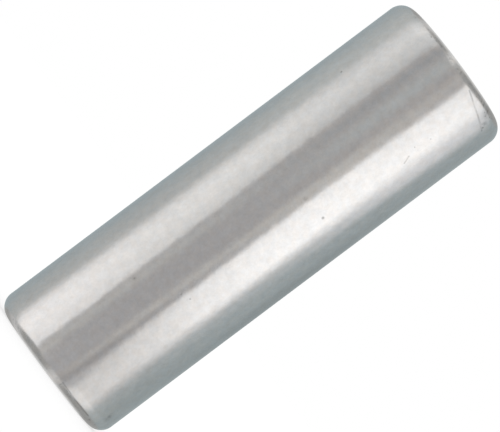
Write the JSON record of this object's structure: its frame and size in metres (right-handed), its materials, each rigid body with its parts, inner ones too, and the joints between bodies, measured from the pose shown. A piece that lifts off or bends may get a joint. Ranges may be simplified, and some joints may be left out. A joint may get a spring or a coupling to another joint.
{
  "type": "gudgeon pin",
  "caption": "Hollow, ground steel gudgeon pin with rounded outer end edges, flat ring-shaped end faces and a plain through bore with small chamfers.",
  "frame": {"origin": "centre of the lower end face, on the surface that the pin stands on", "axes": "+Z along the pin's axis, up; X and Y are alike, because the pin is round"},
  "size_m": [0.02, 0.02, 0.061],
  "materials": {
    "ground_steel": "bright ground and polished steel with fine grinding marks around it"
  },
  "bodies": {
    "root": {"gudgeon_pin": "ground_steel"}
  },
  "joints": []
}
